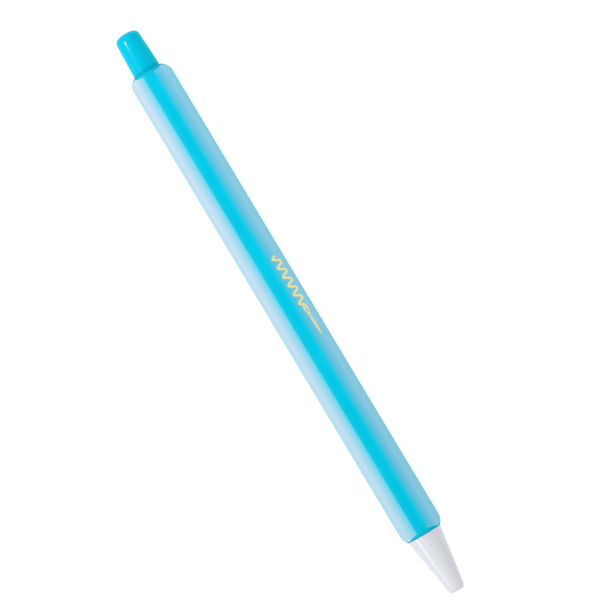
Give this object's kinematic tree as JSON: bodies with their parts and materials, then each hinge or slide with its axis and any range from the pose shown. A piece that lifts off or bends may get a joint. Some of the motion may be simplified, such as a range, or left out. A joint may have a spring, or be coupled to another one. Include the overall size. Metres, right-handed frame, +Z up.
{
  "type": "fabric marking pen",
  "caption": "Click-action fabric marking pen with a three-sided two-tone barrel, tapered push button, screw-on nose cone and rollerball refill.",
  "frame": {"origin": "on the surface that the pen lies on, under the middle of its length", "axes": "+X along the pen's axis, from the push button to the writing tip; +Z up, through the barrel's top corner; the pen's axis is at y = 0, z = 0.0043"},
  "size_m": [0.14, 0.0098, 0.0096],
  "materials": {
    "core_plastic": "moulded, half gloss",
    "frosted_plastic": "milky translucent, satin",
    "button_plastic": "moulded, gloss",
    "white_plastic": "moulded, gloss",
    "cam_plastic": "natural acetal",
    "refill_plastic": "natural, translucent",
    "holder_plastic": "moulded",
    "ink": "liquid",
    "grease": "clear grease",
    "spring_steel": "drawn wire",
    "point_metal": "turned nickel silver",
    "ball_carbide": "polished"
  },
  "bodies": {
    "barrel": {"barrel_core": "core_plastic", "panel_left": "frosted_plastic", "panel_right": "frosted_plastic", "panel_bottom": "frosted_plastic", "cam_sleeve": "cam_plastic"},
    "button": {"push_button": "button_plastic", "plunger": "cam_plastic"},
    "refill": {"refill_tube": "refill_plastic", "tail_plug": "holder_plastic", "ink_column": "ink", "ink_follower": "grease", "follower_float": "refill_plastic", "tip_holder": "holder_plastic", "check_ball": "spring_steel", "tip_point": "point_metal", "ball_spring": "spring_steel", "tip_ball": "ball_carbide"},
    "rotor": {"cam_rotor": "cam_plastic"},
    "front_spring": {"return_spring": "spring_steel"},
    "nose": {"nose_cone": "white_plastic"}
  },
  "joints": [
    {"name": "button_press", "type": "slide", "parent": "barrel", "child": "button", "axis": [1, 0, 0], "range_m": [0, 0.0048], "stiffness_N_per_m": 100, "springref_m": -0.006},
    {"name": "tip_advance", "type": "slide", "parent": "barrel", "child": "refill", "axis": [1, 0, 0], "range_m": [0, 0.0048], "deforming": ["return_spring"]},
    {"name": "cam_turn", "type": "hinge", "parent": "refill", "child": "rotor", "pos_m": [-0.0395, 0, 0.0043], "axis": [1, 0, 0], "range_deg": [0, 45]},
    {"name": "nose_travel", "type": "slide", "parent": "barrel", "child": "front_spring", "axis": [1, 0, 0], "range_m": [0, 0.0035]},
    {"name": "nose_turn", "type": "hinge", "parent": "front_spring", "child": "nose", "pos_m": [0.0559, 0, 0.0043], "axis": [1, 0, 0], "range_deg": [0, 1008]}
  ],
  "couplings": [
    {"joint": "tip_advance", "follows": "button_press", "ratio": 1},
    {"joint": "cam_turn", "follows": "button_press", "rad_per_m": 163.62},
    {"joint": "nose_turn", "follows": "nose_travel", "rad_per_m": 5026.5}
  ]
}
